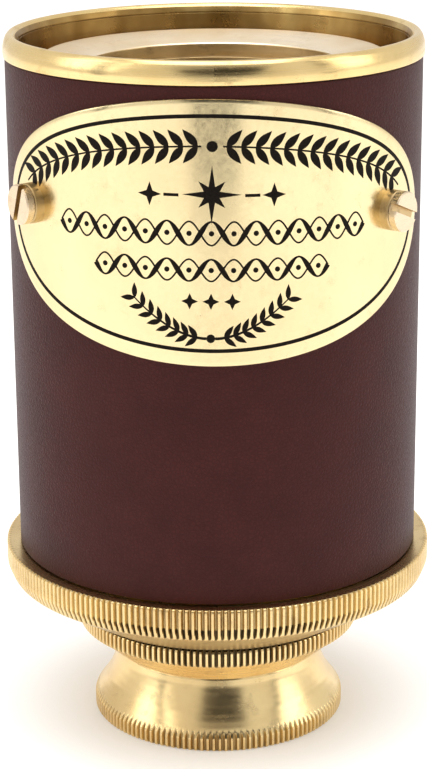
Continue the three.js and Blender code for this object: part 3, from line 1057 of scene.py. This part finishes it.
cup_knurl = knurl(radius, 0.4, CUP_TEETH, cup_groove_dirt_and_shade)
put(
    turned("eyepiece_cup_fine", cup, KNURLED, CUP_TEETH * 8, cup_knurl),
    "draw_2",
    "eyepiece_cup",
)

# ---------------------------------------------------------------- pieces kept from the CAD

KEPT = {
    "barrel_guide_sleeve": AGED,
    "draw_1_guide_sleeve": AGED,
    "draw_1_stop_ring": BLACKENED,
    "draw_2_stop_ring": BLACKENED,
    "eyepiece_cell": BLACKENED,
    "eye_lens_ring": BLACKENED,
    "field_stop": BLACKENED,
    "field_lens_ring": BLACKENED,
    "erector_cell": BLACKENED,
    "erector_spacer": BLACKENED,
    "erector_retaining_ring": BLACKENED,
}
for node, material in KEPT.items():
    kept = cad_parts[node]
    kept.data.materials.clear()
    kept.data.materials.append(material)

# ---------------------------------------------------------------- stage, light and camera


def stage_plane(name, size, place, facing, material):
    bm = bmesh.new()
    bmesh.ops.create_grid(bm, x_segments=1, y_segments=1, size=0.5)
    bmesh.ops.scale(bm, vec=(size[0], size[1], 1), verts=bm.verts)
    mesh = bpy.data.meshes.new(name)
    bm.to_mesh(mesh)
    bm.free()
    mesh.materials.append(material)
    plane = bpy.data.objects.new(name, mesh)
    plane.location = place
    plane.rotation_mode = "QUATERNION"
    plane.rotation_quaternion = Vector(facing).to_track_quat("Z", "Y")
    bpy.context.scene.collection.objects.link(plane)
    return plane


def plain(name, colour, roughness, light=0.0):
    n = Nodes(name)
    n.set(**{"Base Color": (*colour, 1)}, Roughness=roughness)
    if light:
        n.set(**{"Emission Color": (1, 1, 1, 1), "Emission Strength": light})
    return n.material


FLOOR = plain("pale_floor", (0.96, 0.955, 0.95), 0.6, 0.08)
DARK = plain("dark_card", (0.012, 0.012, 0.012), 0.9)
stage_plane("floor", (6, 6), (0, 0, 0), (0, 0, 1), FLOOR)

# dark cards that stand for the unlit side of the room, seen only in reflections
for name, size, place in (
    ("card_behind_camera", (0.34, 0.30), (0.03, -0.42, 0.22)),
    ("card_low_in_front", (0.13, 0.034), (0.002, -0.30, 0.032)),
    ("card_left", (0.10, 0.9), (-0.62, -0.32, 0.3)),
    ("card_right", (0.10, 0.9), (0.62, -0.32, 0.3)),
):
    card = stage_plane(name, size, place, -Vector(place), DARK)
    card.visible_camera = False
    card.visible_shadow = False
    card.visible_diffuse = False


def area(name, place, size, watts, colour=(1, 1, 1)):
    data = bpy.data.lights.new(name, "AREA")
    data.shape = "RECTANGLE"
    data.size, data.size_y = size
    data.energy = watts
    data.color = colour
    lamp = bpy.data.objects.new(name, data)
    lamp.location = place
    lamp.rotation_mode = "QUATERNION"
    lamp.rotation_quaternion = (Vector((0, 0, 0.04)) - Vector(place)).to_track_quat("-Z", "Y")
    bpy.context.scene.collection.objects.link(lamp)
    return lamp


area("softbox_left", (-0.9, -0.3, 0.6), (0.7, 0.9), 3.6)
area("softbox_right", (0.95, -0.2, 0.55), (0.6, 0.9), 3.0)
area("softbox_top", (0.0, -0.1, 1.1), (1.0, 0.8), 7)

world = bpy.data.worlds.new("white_room")
world.use_nodes = True
room = world.node_tree.nodes["Background"]
room.inputs[0].default_value = (1, 0.99, 0.975, 1)
room.inputs[1].default_value = 0.95
backdrop = world.node_tree.nodes.new("ShaderNodeBackground")
backdrop.inputs[0].default_value = (1, 1, 1, 1)
backdrop.inputs[1].default_value = 1.15
either = world.node_tree.nodes.new("ShaderNodeMixShader")
seen = world.node_tree.nodes.new("ShaderNodeLightPath")
link = world.node_tree.links.new
link(seen.outputs["Is Camera Ray"], either.inputs[0])
link(room.outputs[0], either.inputs[1])
link(backdrop.outputs[0], either.inputs[2])
link(either.outputs[0], world.node_tree.nodes["World Output"].inputs[0])
bpy.context.scene.world = world
bpy.context.scene.view_settings.view_transform = "Standard"
bpy.context.scene.view_settings.look = "None"
bpy.context.scene.view_settings.exposure = -0.13

camera_data = bpy.data.cameras.new("camera")
camera_data.sensor_width = 36
camera_data.lens = 103.08
camera = bpy.data.objects.new("camera", camera_data)
camera.location = (0, -0.26358, 0.12429)
camera.rotation_mode = "QUATERNION"
pitch = Quaternion((1, 0, 0), math.radians(90 - 17.186))
yaw = Quaternion((0, 0, 1), math.radians(0.046))
roll = Quaternion((0, 0, 1), math.radians(-0.427))
camera.rotation_quaternion = yaw @ pitch @ roll
bpy.context.scene.collection.objects.link(camera)
bpy.context.scene.camera = camera
